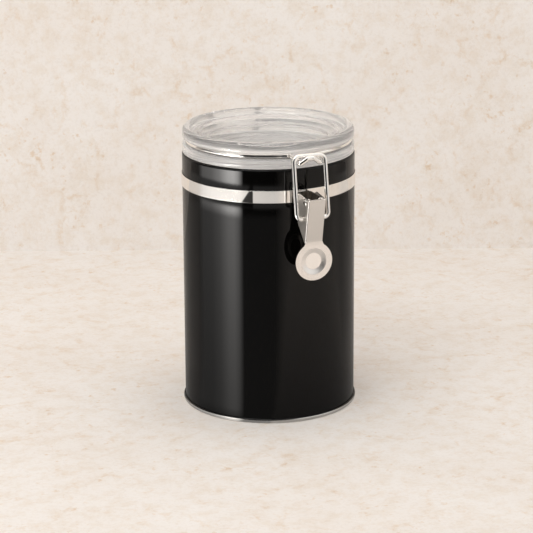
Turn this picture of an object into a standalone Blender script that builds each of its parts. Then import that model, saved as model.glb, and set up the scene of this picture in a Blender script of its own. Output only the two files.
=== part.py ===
# Tea tin with a clear clamp lid. Metres, +Z up, latch towards -Y, hinge towards +Y.
# The base rests on z = 0 and the origin is below the middle of the object's bounding box.

import math

import bmesh
import bpy
from mathutils import Matrix, Vector

# Tin body, from a 99 mm can
body_radius = 0.0495
body_wall = 0.0004
body_height = 0.1484
curl_radius = 0.00125
body_foot = 0.0007

# Seamed base
seam_width = 0.0010
seam_height = 0.0028
seam_corner = 0.0004
base_sheet = 0.00035
base_clearance = 0.0003
base_panel_height = 0.0032
base_bead_width = 0.0050
base_bead_depth = 0.0008

# Band round the body that carries the latch and the hinge
band_drop = 0.0119
band_height = 0.0070
band_sheet = 0.00035
band_clearance = 0.00015

# Clear lid: collar, groove for the wire, bead, then two ledges down to the panel
lid_clearance = 0.0003
rim_inset = 0.0003
collar_height = 0.0050
collar_round = 0.0004
groove_depth = 0.0039
groove_play = 0.00035
bead_height = 0.0063
bead_width = 0.0050
bead_round = 0.0010
bead_foot = 0.0009
lid_wall = 0.0020
wall_shift = 0.0008
first_ledge_width = 0.0039
first_ledge_drop = 0.0034
first_wall_run = 0.0029
first_wall_drop = 0.0036
second_ledge_width = 0.0018
second_wall_run = 0.0037
second_wall_drop = 0.0044
plug_depth = 0.0055
plug_chamfer = 0.0010
mouth_clearance = 0.0005

# Gasket on the plug
gasket_height = 0.0026
gasket_groove = 0.0012
gasket_drop = 0.0007
gasket_reach = 0.0004
gasket_edge = 0.0008
gasket_clearance = 0.0002

# Wire of the lid, with its nose in front and its hinge arms behind
wire_radius = 0.0013
wire_clearance = 0.0003
wire_bend = 0.0022
nose_side_gap = 0.0006
nose_arm_drop = 0.0004
nose_dip = 0.0011
nose_rise = 0.0019
nose_crest_half = 0.0018
nose_lean = 0.0009
nose_gap = 0.0001
nose_bend = 0.0011
nose_dip_bend = 0.0007

# Bail
bail_spread = 0.0041
bail_bar_reach = 0.0098
bail_bar_gap = 0.00035
bail_top_bend = 0.0034
bail_hook_bend = 0.0026
hook_inset = 0.0024
hook_drop = 0.0097
hook_hole_clearance = 0.0003

# Lever, a stamped channel with a round pad
lever_half_width = 0.0052
lever_sheet = 0.0006
lever_edge_bend = 0.0010
lever_top_reach = 0.0044
lever_top_rise = 0.0020
neck_inset = 0.0006
neck_drop = 0.0229
cheek_depth = 0.0102
cheek_top_rise = 0.0014
cheek_drop = 0.0143
cheek_flare = 0.0010
cheek_corner = 0.0020
pad_radius = 0.0109
pad_shoulder = 0.0030
disc_radius = 0.0046
disc_depth = 0.0009
disc_slope = 0.0030

# Latch bracket and the pivot pin through it
pivot_reach = 0.0175
pivot_drop = 0.0030
ear_sheet = 0.0006
ear_rim = 0.0009
ear_foot = 0.0006
ear_cheek_gap = 0.0003
pin_radius = 0.0012
pin_clearance = 0.00015
pin_head_radius = 0.0021
pin_head_height = 0.0007
pin_head_gap = 0.00025
pin_head_crown = 0.0006
pin_head_edge = 0.0003

# Hinge behind
hinge_half_width = 0.0136
hinge_reach = 0.0070
hinge_drop = 0.0004
hinge_ear_rim = 0.0012
hinge_arm_play = 0.0005
hinge_arm_bend = 0.0013

turn_steps = 60
rod_sides = 24
arc_step = math.radians(20)
cut_overrun = 0.0050

band_top = body_height - band_drop
band_bottom = band_top - band_height
band_outer = body_radius + band_clearance + band_sheet
bracket_seat = band_outer + band_clearance

rim_radius = body_radius - rim_inset
lid_bottom = body_height + lid_clearance
groove_bottom = lid_bottom + collar_height
groove_top = groove_bottom + 2 * (wire_radius + groove_play)
lid_top = groove_top + bead_height
groove_radius = rim_radius - groove_depth
ring_radius = groove_radius + wire_clearance + wire_radius
ring_height = groove_bottom + groove_play + wire_radius
mouth_radius = body_radius - 2 * curl_radius
plug_radius = mouth_radius - mouth_clearance

pivot_distance = body_radius + pivot_reach
pivot_height = band_top - pivot_drop
ear_outer = lever_half_width - lever_sheet - ear_cheek_gap
ear_half_height = pin_radius + pin_clearance + ear_rim
lever_top_distance = pivot_distance + lever_top_reach
lever_top_height = pivot_height + lever_top_rise
neck_distance = pivot_distance - neck_inset
neck_height = pivot_height - neck_drop
pad_fillet_out = lever_half_width + pad_shoulder
pad_fillet_rise = math.sqrt((pad_radius + pad_shoulder) ** 2 - pad_fillet_out**2)
pad_centre_height = neck_height - pad_fillet_rise
hook_distance = pivot_distance - hook_inset
hook_height = pivot_height - hook_drop

bail_half_width = lever_half_width + bail_spread
bail_bar_distance = body_radius + bail_bar_reach
nose_arm_height = ring_height - nose_arm_drop
bail_bar_height = nose_arm_height + 2 * wire_radius + bail_bar_gap
nose_half_width = bail_half_width - 2 * wire_radius - nose_side_gap

hinge_distance = body_radius + hinge_reach
hinge_height = body_height - hinge_drop
hinge_ear_radius = wire_radius + hook_hole_clearance + hinge_ear_rim
hinge_arm_half = hinge_half_width + wire_radius + hinge_arm_play

# Exact quarter turns, which keep flat faces flat
lie_along_x = Matrix(((0, 0, 1, 0), (1, 0, 0, 0), (0, 1, 0, 0), (0, 0, 0, 1)))
stand_facing_front = Matrix(((1, 0, 0, 0), (0, 0, -1, 0), (0, 1, 0, 0), (0, 0, 0, 1)))
side_view = Matrix(((0, 0, -1, 0), (-1, 0, 0, 0), (0, 1, 0, 0), (0, 0, 0, 1)))

front_reach = lever_top_distance
rear_reach = hinge_distance + hinge_ear_radius
axis_shift = (front_reach - rear_reach) / 2


def clear_scene():
    for old in list(bpy.data.objects):
        bpy.data.objects.remove(old, do_unlink=True)


def new_collection(name):
    collection = bpy.data.collections.new(name)
    bpy.context.scene.collection.children.link(collection)
    return collection


clear_scene()
parts = new_collection("tea_tin")
cutters = new_collection("cutters")

# Everything hangs from one empty on the tin's own axis
tin_axis = bpy.data.objects.new("tin_axis", None)
tin_axis.location = (0, axis_shift, 0)
parts.objects.link(tin_axis)


def material(name, colour, roughness, metallic=0.0, alpha=1.0, transmission=0.0):
    made = bpy.data.materials.new(name)
    made.use_nodes = True
    shader = made.node_tree.nodes["Principled BSDF"]
    shader.inputs["Base Color"].default_value = (*colour, 1.0)
    shader.inputs["Roughness"].default_value = roughness
    shader.inputs["Metallic"].default_value = metallic
    shader.inputs["Alpha"].default_value = alpha
    shader.inputs["Transmission Weight"].default_value = transmission
    made.diffuse_color = (*colour, alpha)
    return made


black_lacquer = material("black_lacquer", (0.012, 0.011, 0.011), 0.08)
bare_tinplate = material("bare_tinplate", (0.72, 0.71, 0.69), 0.28, metallic=1.0)
bright_steel = material("bright_steel", (0.80, 0.78, 0.75), 0.12, metallic=1.0)
satin_steel = material("satin_steel", (0.74, 0.70, 0.66), 0.30, metallic=1.0)
polished_wire = material("polished_wire", (0.82, 0.80, 0.77), 0.08, metallic=1.0)
clear_plastic = material("clear_plastic", (0.92, 0.93, 0.93), 0.04, alpha=0.35, transmission=0.9)
soft_seal = material("soft_seal", (0.86, 0.86, 0.84), 0.45, alpha=0.8)


def finish(obj, surface, angle=35):
    """Gives an object its material and smooth shading with sharp corners."""
    obj.data.materials.clear()
    obj.data.materials.append(surface)
    obj.data.shade_smooth()
    obj.data.set_sharp_from_angle(angle=math.radians(angle))


def place(obj, parent, pivot=(0, 0, 0)):
    """Puts an object under its parent, with its origin on the pivot given from the tin's axis."""
    obj.parent = parent
    obj.location = Vector(pivot)


def shift_mesh(obj, pivot):
    obj.data.transform(Matrix.Translation(-Vector(pivot)))


def turned(name, profile, surface, wall=0.0):
    """Turns a profile of (radius, height) points about Z; an open profile gets a wall inwards."""
    mesh = bpy.data.meshes.new(name)
    points = [(radius, 0, height) for radius, height in profile]
    mesh.from_pydata(points, [(i, i + 1) for i in range(len(points) - 1)], [])
    obj = bpy.data.objects.new(name, mesh)
    parts.objects.link(obj)
    screw = obj.modifiers.new("Turn", "SCREW")
    screw.steps = turn_steps
    screw.render_steps = turn_steps
    screw.use_merge_vertices = True
    screw.merge_threshold = 0.00001
    screw.use_smooth_shade = True
    if wall:
        solid = obj.modifiers.new("Wall", "SOLIDIFY")
        solid.thickness = wall
        solid.offset = -1
        solid.use_even_offset = True
    mesh.materials.append(surface)
    place(obj, tin_axis)
    return obj


def arc(centre, radius, start, stop, steps):
    """Points of an arc in a profile, angles in degrees from the outward direction."""
    angles = [math.radians(start + (stop - start) * i / steps) for i in range(steps + 1)]
    return [(centre[0] + radius * math.cos(a), centre[1] + radius * math.sin(a)) for a in angles]


def rounded(corners, bends):
    """A path through the corners, each inner one rounded with its bend radius."""
    corners = [Vector(c) for c in corners]
    path = [corners[0]]
    for before, corner, after, bend in zip(corners, corners[1:], corners[2:], bends):
        back = (before - corner).normalized()
        on = (after - corner).normalized()
        half = back.angle(on) / 2
        turn = math.pi - 2 * half
        reach = bend / math.tan(half)
        middle = corner + (back + on).normalized() * (bend / math.sin(half))
        start = corner + back * reach - middle
        axle = back.cross(on).normalized()
        steps = max(2, math.ceil(turn / arc_step))
        for i in range(steps + 1):
            path.append(middle + Matrix.Rotation(-turn * i / steps, 3, axle) @ start)
    path.append(corners[-1])
    return path


def wire(name, path, radius, surface, pivot):
    curve = bpy.data.curves.new(name, "CURVE")
    curve.dimensions = "3D"
    curve.bevel_depth = radius
    curve.bevel_resolution = 2
    curve.use_fill_caps = True
    curve.twist_mode = "MINIMUM"
    spline = curve.splines.new("POLY")
    spline.points.add(len(path) - 1)
    for point, place_ in zip(spline.points, path):
        point.co = (*(place_ - Vector(pivot)), 1)
    curve.materials.append(surface)
    obj = bpy.data.objects.new(name, curve)
    parts.objects.link(obj)
    return obj


def outline_solid(name, outline, thickness, collection):
    """A flat outline in its own XY plane, extruded to both sides, made into a mesh object."""
    curve = bpy.data.curves.new(name, "CURVE")
    curve.dimensions = "2D"
    curve.fill_mode = "BOTH"
    curve.extrude = thickness / 2
    spline = curve.splines.new("POLY")
    spline.points.add(len(outline) - 1)
    for point, (x, y) in zip(spline.points, outline):
        point.co = (x, y, 0, 1)
    spline.use_cyclic_u = True
    flat = bpy.data.objects.new(name, curve)
    bpy.context.scene.collection.objects.link(flat)
    mesh = bpy.data.meshes.new_from_object(flat.evaluated_get(bpy.context.evaluated_depsgraph_get()))
    bpy.data.objects.remove(flat, do_unlink=True)
    shell = bmesh.new()
    shell.from_mesh(mesh)
    bmesh.ops.remove_doubles(shell, verts=shell.verts, dist=0.000002)
    bmesh.ops.recalc_face_normals(shell, faces=shell.faces)
    shell.to_mesh(mesh)
    shell.free()
    obj = bpy.data.objects.new(name, mesh)
    collection.objects.link(obj)
    return obj


def hide_cutter(obj):
    obj.hide_render = True
    obj.display_type = "WIRE"


def rod_cutter(name, radius, length, centre):
    """A cylinder along X for a hole through upright plates, with a flat facet at its top."""
    bpy.ops.mesh.primitive_cylinder_add(vertices=rod_sides, radius=radius, depth=length)
    obj = bpy.context.object
    obj.name = name
    half_facet = Matrix.Rotation(math.pi / rod_sides, 4, "Z")
    obj.data.transform(Matrix.Translation(centre) @ lie_along_x @ half_facet)
    for owner in list(obj.users_collection):
        owner.objects.unlink(obj)
    cutters.objects.link(obj)
    hide_cutter(obj)
    return obj


def boolean(obj, other, operation, solver="EXACT"):
    modifier = obj.modifiers.new(operation.title(), "BOOLEAN")
    modifier.operation = operation
    modifier.solver = solver
    modifier.object = other


def apply_modifiers(obj):
    """Makes the evaluated shape the object's own mesh."""
    depsgraph = bpy.context.evaluated_depsgraph_get()
    made = bpy.data.meshes.new_from_object(obj.evaluated_get(depsgraph))
    obj.modifiers.clear()
    obj.data = made


def side_plate(name, outline, half_width, collection):
    """A solid whose side view is an outline of (distance, height), centred on X = 0."""
    obj = outline_solid(name, outline, 2 * half_width, collection)
    # outline X is the distance towards -Y, outline Y is the height
    obj.data.transform(side_view)
    return obj


def rounded_outline(corners, bends):
    """A closed flat outline with every corner rounded by its own bend."""
    loop = [Vector((*c, 0)) for c in corners]
    count = len(loop)
    points = []
    for i, bend in enumerate(bends):
        corner = loop[i]
        if not bend:
            points.append((corner.x, corner.y))
            continue
        piece = rounded([loop[i - 1], corner, loop[(i + 1) % count]], [bend])
        points += [(p.x, p.y) for p in piece[1:-1]]
    return points


def build_body():
    curl_middle = (body_radius - curl_radius, body_height - curl_radius)
    profile = arc(curl_middle, curl_radius, 240, 0, 6)
    profile.append((body_radius, body_foot))
    return turned("tin_body", profile, black_lacquer, wall=body_wall)


def build_base():
    outer = body_radius + seam_width
    inner = body_radius - body_wall - base_clearance
    lip = body_radius + base_clearance
    profile = [(lip, seam_height)]
    profile += arc((outer - seam_corner, seam_height - seam_corner), seam_corner, 90, 0, 1)
    profile += arc((outer - seam_corner, seam_corner), seam_corner, 0, -90, 2)
    chuck = inner - base_sheet
    panel = base_panel_height - base_sheet
    profile += [(chuck + seam_corner, 0), (chuck, seam_corner), (chuck, panel - seam_corner)]
    profile.append((chuck - seam_corner, panel))
    profile.append((chuck - base_bead_width, panel))
    profile.append((chuck - base_bead_width - base_bead_depth, panel - base_bead_depth))
    profile.append((0, panel - base_bead_depth))
    return turned("base_end", profile, bare_tinplate, wall=base_sheet)


def build_band():
    inner = band_outer - band_sheet
    profile = [(inner, band_top), (band_outer, band_top)]
    profile += [(band_outer, band_bottom), (inner, band_bottom)]
    return turned("clamp_band", profile + profile[:1], bright_steel)


def lid_profile(seal_top):
    """The lid's section, from the middle of its dished top round the rim to the panel's underside."""
    bead_half = bead_width / 2
    bead_inner = rim_radius - bead_width
    first_height = lid_top - first_ledge_drop
    second_height = first_height - first_wall_drop
    panel_height = second_height - second_wall_drop
    first_outer = bead_inner - bead_foot
    first_inner = first_outer - first_ledge_width
    second_outer = first_inner - first_wall_run
    second_inner = second_outer - second_ledge_width
    panel_radius = second_inner - second_wall_run

    dish = [(panel_radius, panel_height), (second_inner, second_height)]
    dish += [(second_outer, second_height), (first_inner, first_height)]
    profile = [(0, panel_height), *dish, (first_outer, first_height)]
    profile += arc((rim_radius - bead_half, lid_top - bead_half), bead_half, 165, 0, 7)
    profile += arc((rim_radius - bead_round, groove_top + bead_round), bead_round, 0, -90, 2)
    profile += [(groove_radius, groove_top), (groove_radius, groove_bottom)]
    collar_corner = (rim_radius - collar_round, groove_bottom - collar_round)
    profile += arc(collar_corner, collar_round, 90, 0, 2)
    profile += [(rim_radius, lid_bottom), (plug_radius, lid_bottom)]

    seal_bottom = seal_top - gasket_height - 2 * gasket_clearance
    seal_seat = plug_radius - gasket_groove
    plug_bottom = lid_bottom - plug_depth
    plug_inner = seal_seat - lid_wall
    profile += [(plug_radius, seal_top), (seal_seat, seal_top)]
    profile += [(seal_seat, seal_bottom), (plug_radius, seal_bottom)]
    profile += [(plug_radius, plug_bottom + plug_chamfer), (plug_radius - plug_chamfer, plug_bottom)]
    profile += [(plug_inner, plug_bottom), (plug_inner, first_height - lid_wall)]
    profile += [(radius + wall_shift, height - lid_wall) for radius, height in reversed(dish)]
    profile.append((0, panel_height - lid_wall))
    return profile


def build_lid():
    seal_top = lid_bottom - gasket_drop
    lid = turned("clear_lid", lid_profile(seal_top), clear_plastic)
    top = seal_top - gasket_clearance
    bottom = top - gasket_height
    inner = plug_radius - gasket_groove + gasket_clearance
    outer = mouth_radius - gasket_clearance
    lip = outer - gasket_reach
    ring = [(inner, top), (lip, top), (outer, top - gasket_edge)]
    ring += [(outer, bottom + gasket_edge), (lip, bottom), (inner, bottom), (inner, top)]
    gasket = turned("lid_gasket", ring, soft_seal)
    return lid, gasket


def ring_arc(side):
    """The ring's half on one side, from the hinge arms round to the nose, as points."""
    behind = math.asin((hinge_arm_half + wire_bend) / ring_radius)
    front = math.asin((nose_half_width + wire_bend) / ring_radius)
    steps = 34
    points = []
    for i in range(steps + 1):
        angle = behind + (math.pi - front - behind) * i / steps
        x = side * ring_radius * math.sin(angle)
        points.append(Vector((x, ring_radius * math.cos(angle), ring_height)))
    return points


def build_lid_wire():
    """One wire: hinge end, arm, half ring, nose, half ring, arm, hinge end."""
    hole_end = hinge_half_width - ear_sheet - ear_cheek_gap
    crest = bail_bar_distance + 2 * wire_radius + nose_gap
    dip = crest - nose_lean
    halves = {side: ring_arc(side) for side in (1, -1)}
    leave = halves[1][-1].y - wire_radius

    def hinge_arm(side):
        across = side * hinge_arm_half
        on_ring = math.sqrt(ring_radius**2 - hinge_arm_half**2)
        corners = [
            Vector((side * hole_end, hinge_distance, hinge_height)),
            Vector((across, hinge_distance, hinge_height)),
            Vector((across, hinge_distance, ring_height)),
            Vector((across, on_ring + wire_radius, ring_height)),
            halves[side][0],
        ]
        return rounded(corners, [hinge_arm_bend, wire_bend, nose_bend])

    def nose_side(side):
        across = side * nose_half_width
        return [
            Vector((across, leave, ring_height)),
            Vector((across, -bail_bar_distance, nose_arm_height)),
            Vector((across, -dip, nose_arm_height - nose_dip)),
            Vector((side * nose_crest_half, -crest, nose_arm_height + nose_rise)),
        ]

    nose = [halves[1][-1], *nose_side(1), *nose_side(-1)[::-1], halves[-1][-1]]
    side_bends = [nose_bend, nose_bend, nose_dip_bend, nose_bend]
    front = rounded(nose, side_bends + side_bends[::-1])
    path = hinge_arm(1)[:-1] + halves[1][:-1] + front + halves[-1][-2::-1] + hinge_arm(-1)[-2::-1]
    pivot = (0, hinge_distance, hinge_height)
    return wire("lid_wire", path, wire_radius, polished_wire, pivot)


def build_bail():
    across = bail_half_width
    end = ear_outer
    low = (-hook_distance, hook_height)
    high = (-bail_bar_distance, bail_bar_height)
    corners = [(end, *low), (across, *low), (across, *high)]
    corners += [(-across, *high), (-across, *low), (-end, *low)]
    bends = [bail_hook_bend, bail_top_bend, bail_top_bend, bail_hook_bend]
    return wire("latch_bail", rounded(corners, bends), wire_radius, polished_wire, (0, *low))


def lever_outline():
    """The lever's side view: front plate, top edge, deep cheeks and the taper to the pad."""
    back = pivot_distance - cheek_depth
    corners = [(neck_distance, neck_height), (lever_top_distance, lever_top_height)]
    corners.append((back, lever_top_height + cheek_top_rise))
    corners.append((back - cheek_flare, pivot_height - cheek_drop))
    corners += [(neck_distance - 2 * lever_sheet, neck_height - lever_sheet)]
    return corners


def pad_outline():
    """The pad's flat outline: a round pad with a filleted neck, as (across, height)."""
    fillet = (pad_fillet_out, neck_height)
    touch = math.degrees(math.atan2(pad_fillet_rise, pad_fillet_out))
    right = arc(fillet, pad_shoulder, 180, 180 + touch, 4)
    right += arc((0, pad_centre_height), pad_radius, touch, -90, 14)[1:]
    left = [(-x, z) for x, z in reversed(right[:-1])]
    return right + left


def cone_along_y(name, wide, narrow, depth, base_y, collection):
    """A frustum whose wide end sits at base_y and which narrows towards the tin."""
    bpy.ops.mesh.primitive_cone_add(vertices=40, radius1=narrow, radius2=wide, depth=depth)
    obj = bpy.context.object
    obj.name = name
    centre = Matrix.Translation((0, base_y + depth / 2, pad_centre_height))
    obj.data.transform(centre @ stand_facing_front)
    for owner in list(obj.users_collection):
        owner.objects.unlink(obj)
    collection.objects.link(obj)
    hide_cutter(obj)
    return obj


def build_lever():
    pivot = (0, -pivot_distance, pivot_height)
    outline = lever_outline()
    bends = [0, 0, cheek_corner, cheek_corner, 0]
    lever = side_plate("latch_lever", rounded_outline(outline, bends), lever_half_width, parts)
    bevel = lever.modifiers.new("Edge", "BEVEL")
    bevel.width = lever_edge_bend
    bevel.segments = 3
    bevel.limit_method = "WEIGHT"
    mark_front_edges(lever)
    apply_modifiers(lever)

    hollow = side_plate("lever_hollow", hollow_outline(), lever_half_width - lever_sheet, cutters)
    hide_cutter(hollow)
    boolean(lever, hollow, "DIFFERENCE")
    apply_modifiers(lever)

    pad = outline_solid("pad_plate", pad_outline(), lever_sheet, cutters)
    pad.data.transform(Matrix.Translation((0, lever_sheet / 2 - neck_distance, 0)) @ stand_facing_front)
    hide_cutter(pad)
    boolean(lever, pad, "UNION")
    face = -neck_distance
    overlap = lever_sheet / 2
    wide = disc_radius + disc_slope + overlap * disc_slope / disc_depth
    depth = disc_depth + overlap
    back = face + lever_sheet
    boss_wide = wide + lever_sheet
    boss_narrow = disc_radius + lever_sheet
    boss = cone_along_y("disc_boss", boss_wide, boss_narrow, depth, back - overlap, cutters)
    boolean(lever, boss, "UNION")
    dish = cone_along_y("disc_dish", wide, disc_radius, depth, face - overlap, cutters)
    boolean(lever, dish, "DIFFERENCE")
    reach = 2 * (lever_half_width + cut_overrun)
    pin_hole = rod_cutter("pin_hole", pin_radius + pin_clearance, reach, pivot)
    hook_place = (0, -hook_distance, hook_height)
    hook_hole = rod_cutter("hook_hole", wire_radius + hook_hole_clearance, reach, hook_place)
    apply_modifiers(lever)
    # The exact solver can lose a facet of a small hole in the thin cheeks
    boolean(lever, pin_hole, "DIFFERENCE", "MANIFOLD")
    boolean(lever, hook_hole, "DIFFERENCE", "MANIFOLD")
    apply_modifiers(lever)
    shift_mesh(lever, pivot)
    finish(lever, satin_steel)
    place(lever, tin_axis, pivot)
    return lever


def hollow_outline():
    """The space inside the lever's channel, open behind, above and below."""
    front = Vector((lever_top_distance - neck_distance, lever_top_height - neck_height)).normalized()
    inward = Vector((-front.y, front.x)) * lever_sheet
    low = Vector((neck_distance, neck_height)) + inward - front * cut_overrun
    high = Vector((lever_top_distance, lever_top_height)) + inward + front * cut_overrun
    back = pivot_distance - cheek_depth - cheek_flare - cut_overrun
    return [(low.x, low.y), (high.x, high.y), (back, high.y), (back, low.y)]


def mark_front_edges(obj):
    """Bevels only the channel's two long front corners."""
    shape = bmesh.new()
    shape.from_mesh(obj.data)
    weight = shape.edges.layers.float.new("bevel_weight_edge")
    ends = {(lever_top_distance, lever_top_height), (neck_distance, neck_height)}
    for edge in shape.edges:
        places = {(round(-v.co.y, 6), round(v.co.z, 6)) for v in edge.verts}
        if places == {(round(d, 6), round(h, 6)) for d, h in ends}:
            edge[weight] = 1
    shape.to_mesh(obj.data)
    shape.free()


def bracket(name, outline, half_width, hole_place, hole_radius):
    """Two upright ears joined by a base plate that is curved like the band."""
    block = side_plate(name, outline, half_width, parts)
    low = min(height for _, height in outline)
    high = max(height for _, height in outline)
    seat = upright_cutter(name + "_seat", bracket_seat, low, high)
    slot = side_plate(name + "_slot", slot_outline(outline), half_width - ear_sheet, cutters)
    hide_cutter(slot)
    boolean(slot, upright_cutter(name + "_plate", bracket_seat + ear_sheet, low, high), "DIFFERENCE")
    apply_modifiers(slot)
    boolean(block, seat, "DIFFERENCE")
    boolean(block, slot, "DIFFERENCE")
    hole = rod_cutter(name + "_hole", hole_radius, 2 * (half_width + cut_overrun), hole_place)
    boolean(block, hole, "DIFFERENCE")
    apply_modifiers(block)
    finish(block, bright_steel)
    place(block, tin_axis)
    return block


def upright_cutter(name, radius, low, high):
    """A cylinder on the tin's axis that shapes a bracket's base plate."""
    depth = high - low + 4 * cut_overrun
    bpy.ops.mesh.primitive_cylinder_add(vertices=4 * turn_steps, radius=radius, depth=depth)
    obj = bpy.context.object
    obj.name = name
    obj.data.transform(Matrix.Translation((0, 0, (low + high) / 2)))
    for owner in list(obj.users_collection):
        owner.objects.unlink(obj)
    cutters.objects.link(obj)
    hide_cutter(obj)
    return obj


def slot_outline(outline):
    """The space between the ears, from inside the base plate outwards."""
    far = max(distance for distance, _ in outline) + cut_overrun
    near = min(distance for distance, _ in outline) - cut_overrun
    high = max(height for _, height in outline) + cut_overrun
    low = min(height for _, height in outline) - cut_overrun
    return [(near, low), (far, low), (far, high), (near, high)]


def build_latch_bracket():
    low = pivot_height - ear_half_height
    high = pivot_height + ear_half_height
    back = bracket_seat - cut_overrun
    outline = [(back, low - ear_foot), (back, high)]
    outline += arc((pivot_distance, pivot_height), ear_half_height, 90, -90, 8)
    hole_place = (0, -pivot_distance, pivot_height)
    bracket("latch_bracket", outline, ear_outer, hole_place, pin_radius + pin_clearance)


def build_hinge_bracket():
    back = bracket_seat - cut_overrun
    outline = [(back, band_bottom), (back, band_top), (bracket_seat + ear_sheet, band_top)]
    outline += arc((hinge_distance, hinge_height), hinge_ear_radius, 165, -20, 8)
    outline.append((bracket_seat + 2 * hinge_ear_radius, band_bottom))
    hole_place = (0, -hinge_distance, hinge_height)
    hole_radius = wire_radius + hook_hole_clearance
    block = bracket("hinge_bracket", outline, hinge_half_width, hole_place, hole_radius)
    block.data.transform(Matrix.Rotation(math.pi, 4, "Z"))


def build_pin():
    """A pin with a head outside each cheek, turned about X."""
    cheek = lever_half_width + pin_head_gap
    tip = cheek + pin_head_height
    profile = [(0, tip), (pin_head_radius - pin_head_crown, tip)]
    profile += [(pin_head_radius, cheek + pin_head_edge), (pin_head_radius, cheek)]
    profile.append((pin_radius, cheek))
    profile += [(radius, -height) for radius, height in reversed(profile)]
    pin = turned("pivot_pin", profile, bright_steel)
    pin.modifiers["Turn"].steps = rod_sides
    pin.modifiers["Turn"].render_steps = rod_sides
    pin.rotation_euler = (0, math.pi / 2, 0)
    pin.location = (0, -pivot_distance, pivot_height)
    return pin


build_body()
build_base()
build_band()
build_latch_bracket()
build_hinge_bracket()
build_pin()

# The lid and its wire turn about the hinge, the bail about its hooks in the lever
hinge_empty = bpy.data.objects.new("lid_hinge", None)
parts.objects.link(hinge_empty)
place(hinge_empty, tin_axis, (0, hinge_distance, hinge_height))
for piece in build_lid():
    place(piece, hinge_empty, (0, -hinge_distance, -hinge_height))
place(build_lid_wire(), hinge_empty)
lever_object = build_lever()
bail_object = build_bail()
place(bail_object, lever_object, (0, pivot_distance - hook_distance, hook_height - pivot_height))
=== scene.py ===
import math
import bmesh
import bpy
from mathutils import Matrix, Vector


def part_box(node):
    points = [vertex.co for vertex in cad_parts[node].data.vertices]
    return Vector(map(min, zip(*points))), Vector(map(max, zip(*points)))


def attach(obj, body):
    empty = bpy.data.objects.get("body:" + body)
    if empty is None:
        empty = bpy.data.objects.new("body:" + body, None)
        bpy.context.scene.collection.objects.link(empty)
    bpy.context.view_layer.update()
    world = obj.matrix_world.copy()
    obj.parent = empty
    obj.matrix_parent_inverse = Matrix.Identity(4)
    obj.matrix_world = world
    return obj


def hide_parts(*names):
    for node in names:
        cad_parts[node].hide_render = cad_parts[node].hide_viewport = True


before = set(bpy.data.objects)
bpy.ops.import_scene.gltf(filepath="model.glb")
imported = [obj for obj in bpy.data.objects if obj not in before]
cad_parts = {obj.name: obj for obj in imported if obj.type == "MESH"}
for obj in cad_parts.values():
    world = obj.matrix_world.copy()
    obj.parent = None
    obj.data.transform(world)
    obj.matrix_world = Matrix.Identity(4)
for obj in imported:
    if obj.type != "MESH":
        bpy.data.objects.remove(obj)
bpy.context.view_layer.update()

bodyLow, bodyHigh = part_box("tin_body")
axisY = (bodyLow[1] + bodyHigh[1]) / 2  # the tin's own axis, a little behind the origin
near = 0.00002  # places closer than this count as the same
ringNear = 0.00003  # and this is for places on a ring
white = (1.0, 1.0, 1.0)
scene = bpy.context.scene
scene.view_settings.view_transform = "Standard"


# Helpers for modelling by hand

def clearSelection():
    if bpy.context.object and bpy.context.object.mode != "OBJECT":
        bpy.ops.object.mode_set(mode="OBJECT")
    bpy.ops.object.select_all(action="DESELECT")


def choose(piece):
    clearSelection()
    piece.select_set(True)
    bpy.context.view_layer.objects.active = piece


def settle(piece):
    # puts the object's place and turn into its mesh
    choose(piece)
    bpy.ops.object.transform_apply(location=True, rotation=True, scale=True)


def add(operator, name, **settings):
    # one of Blender's own shapes, named and settled
    clearSelection()
    operator(**settings)
    piece = bpy.context.object
    piece.name = name
    piece.data.name = name
    settle(piece)
    return piece


def edit(piece, mode="VERT"):
    choose(piece)
    bpy.ops.object.mode_set(mode="EDIT")
    selectBy(mode)
    bpy.ops.mesh.select_all(action="DESELECT")


def selectBy(kind):
    bpy.ops.mesh.select_mode(type=kind)


def selectAll():
    bpy.ops.mesh.select_all(action="SELECT")


def pick(piece, test, kind="verts"):
    # selects what passes the test, by its place
    shape = bmesh.from_edit_mesh(piece.data)
    for item in (*shape.verts, *shape.edges, *shape.faces):
        item.select = False
    found = [item for item in getattr(shape, kind) if test(item)]
    for item in found:
        item.select_set(True)
    bmesh.update_edit_mesh(piece.data)
    return found


def pickOpenEdges(piece):
    pick(piece, lambda edge: edge.is_boundary, "edges")


def extrude(step):
    bpy.ops.mesh.extrude_region_move(TRANSFORM_OT_translate={"value": step})


def weld():
    selectAll()
    bpy.ops.mesh.remove_doubles(threshold=0.000005)


def leave():
    bpy.ops.object.mode_set(mode="OBJECT")


def leaveFacingOut():
    selectAll()
    bpy.ops.mesh.normals_make_consistent(inside=False)
    leave()


def applyAll(piece):
    choose(piece)
    for modifier in list(piece.modifiers):
        bpy.ops.object.modifier_apply(modifier=modifier.name)


def smooth(piece, angle=35):
    choose(piece)
    bpy.ops.object.shade_smooth_by_angle(angle=math.radians(angle))
    # wide flat faces keep their own direction beside small rounded edges
    weighted = piece.modifiers.new("Weighted", "WEIGHTED_NORMAL")
    weighted.keep_sharp = True
    applyAll(piece)


def softenEdges(piece, width, segments):
    edges = piece.modifiers.new("Edges", "BEVEL")
    edges.width = width
    edges.segments = segments
    edges.limit_method = "ANGLE"
    edges.angle_limit = math.radians(50)
    applyAll(piece)


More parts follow.
